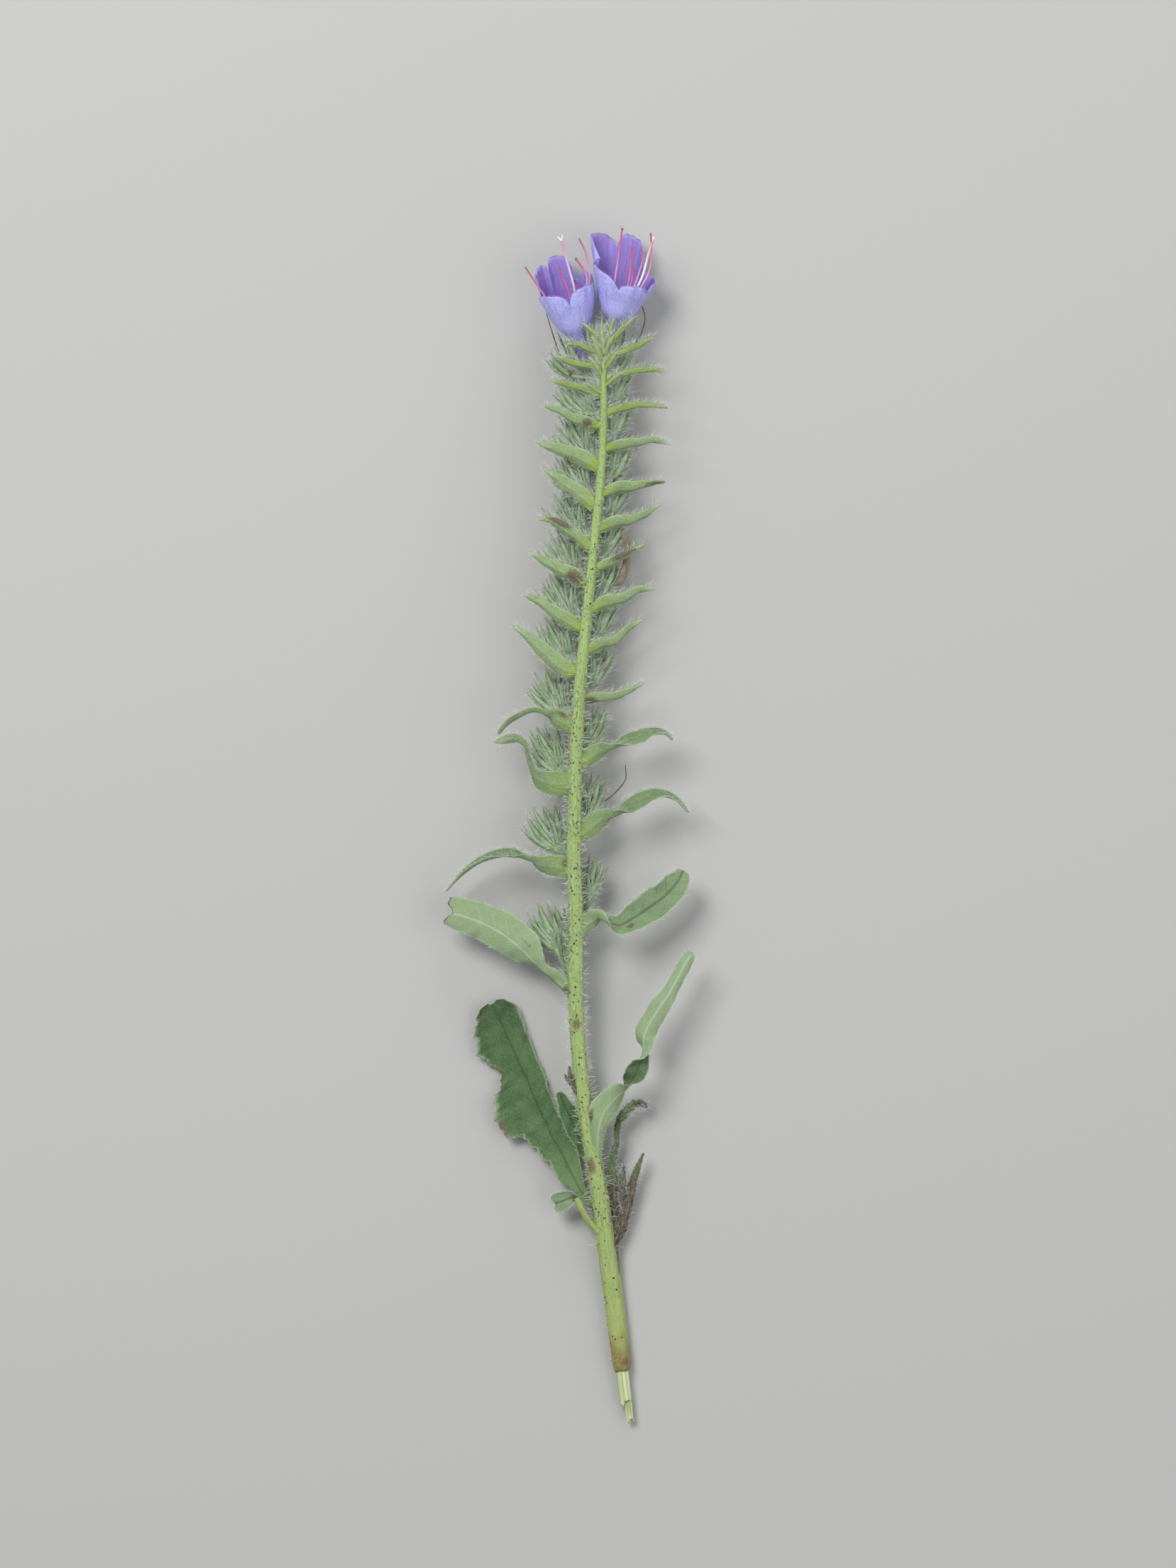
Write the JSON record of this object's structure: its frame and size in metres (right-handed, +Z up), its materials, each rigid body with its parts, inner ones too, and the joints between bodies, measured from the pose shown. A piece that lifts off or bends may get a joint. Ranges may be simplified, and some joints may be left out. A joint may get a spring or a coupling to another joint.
{
  "type": "viper's bugloss stem",
  "caption": "Cut flowering stem of viper's bugloss lying on its side, with open funnel flowers at the tip, leafy bracts over bristly cymes, and large lower leaves.",
  "frame": {"origin": "middle of the plant's outline on the surface that it lies on", "axes": "+Y along the stem from the cut end to the flowers, +X to the right as seen from above, +Z up from the surface"},
  "size_m": [0.0388, 0.1829, 0.0118],
  "materials": {
    "stem_green": "satin",
    "stem_core": "matte",
    "bract": "satin",
    "leaf": "satin",
    "calyx": "matte",
    "petal": "satin",
    "filament": "satin",
    "style": "satin",
    "withered": "matte"
  },
  "bodies": {
    "root": {"stem": "stem_green", "stem_core": "stem_core", "bract_left_1": "bract", "bract_left_2": "bract", "bract_left_3": "bract", "bract_left_4": "bract", "bract_left_5": "bract", "bract_left_6": "bract", "bract_left_7": "bract", "bract_left_8": "bract", "bract_left_9": "bract", "bract_left_10": "bract", "bract_right_1": "bract", "bract_right_2": "bract", "bract_right_3": "bract", "bract_right_4": "bract", "bract_right_5": "bract", "bract_right_6": "bract", "bract_right_7": "bract", "bract_right_8": "bract", "bract_right_9": "bract", "leaf_left": "leaf", "leaf_right": "leaf", "leaf_lower_right": "leaf", "leaf_lower_left": "leaf", "leaf_behind": "leaf", "cyme_left_1": "calyx", "cyme_left_2": "calyx", "cyme_left_3": "calyx", "cyme_left_4": "calyx", "cyme_left_5": "calyx", "cyme_left_6": "calyx", "cyme_left_7": "calyx", "cyme_left_8": "calyx", "cyme_left_9": "calyx", "cyme_left_10": "calyx", "cyme_left_11": "calyx", "cyme_right_1": "calyx", "cyme_right_2": "calyx", "cyme_right_3": "calyx", "cyme_right_4": "calyx", "cyme_right_5": "calyx", "cyme_right_6": "calyx", "cyme_right_7": "calyx", "cyme_right_8": "calyx", "cyme_right_9": "calyx", "cyme_right_10": "calyx", "cyme_right_11": "calyx", "corolla_left": "petal", "stamens_left": "filament", "style_left": "style", "flower_calyx_left": "calyx", "corolla_right": "petal", "stamens_right": "filament", "style_right": "style", "flower_calyx_right": "calyx", "withered_shoot": "withered", "withered_corolla": "withered"}
  },
  "joints": []
}
